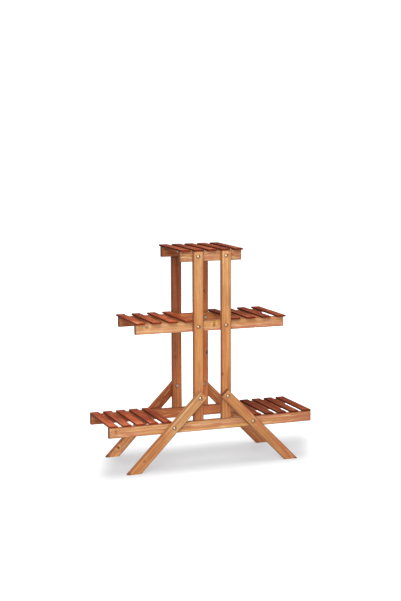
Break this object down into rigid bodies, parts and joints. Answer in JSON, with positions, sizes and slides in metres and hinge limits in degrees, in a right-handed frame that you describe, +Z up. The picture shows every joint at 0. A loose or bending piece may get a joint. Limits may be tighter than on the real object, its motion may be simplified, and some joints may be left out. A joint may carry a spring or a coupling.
{
  "type": "tiered plant stand",
  "caption": "Three-tier wooden plant stand: slatted shelves stepped around a pair of flat post frames, on splayed bolted legs.",
  "frame": {"origin": "on the floor, in the middle under the stand", "axes": "+Z up, the front faces -Y, the shelves' rails run along X"},
  "size_m": [0.82, 0.3028, 0.828],
  "materials": {
    "frame_timber": "orange-brown stained softwood, thin satin coat",
    "slat_timber": "redder brown stained softwood, satin coat",
    "zinc_plated_steel": "bright zinc plated",
    "nail_steel": "dull bright wire"
  },
  "bodies": {
    "root": {"post_front_left": "frame_timber", "post_front_right": "frame_timber", "post_rear_left": "frame_timber", "post_rear_right": "frame_timber", "lower_rail_front": "frame_timber", "lower_rail_rear": "frame_timber", "middle_rail_front": "frame_timber", "middle_rail_rear": "frame_timber", "top_rail_front": "frame_timber", "top_rail_rear": "frame_timber", "leg_front_left": "frame_timber", "leg_front_right": "frame_timber", "leg_rear_left": "frame_timber", "leg_rear_right": "frame_timber", "lower_slat_left_1": "slat_timber", "lower_slat_left_2": "slat_timber", "lower_slat_left_3": "slat_timber", "lower_slat_left_4": "slat_timber", "lower_slat_left_5": "slat_timber", "lower_slat_right_1": "slat_timber", "lower_slat_right_2": "slat_timber", "lower_slat_right_3": "slat_timber", "lower_slat_right_4": "slat_timber", "lower_slat_right_5": "slat_timber", "middle_slat_left_1": "slat_timber", "middle_slat_left_2": "slat_timber", "middle_slat_left_3": "slat_timber", "middle_slat_left_4": "slat_timber", "middle_slat_right_1": "slat_timber", "middle_slat_right_2": "slat_timber", "middle_slat_right_3": "slat_timber", "middle_slat_right_4": "slat_timber", "top_slat_1": "slat_timber", "top_slat_2": "slat_timber", "top_slat_3": "slat_timber", "top_slat_4": "slat_timber", "top_slat_5": "slat_timber", "frame_bolts": "zinc_plated_steel", "bolt_washers": "zinc_plated_steel", "bolt_nuts": "zinc_plated_steel", "lower_slat_nails": "nail_steel", "middle_slat_nails": "nail_steel", "top_slat_nails": "nail_steel"}
  },
  "joints": []
}
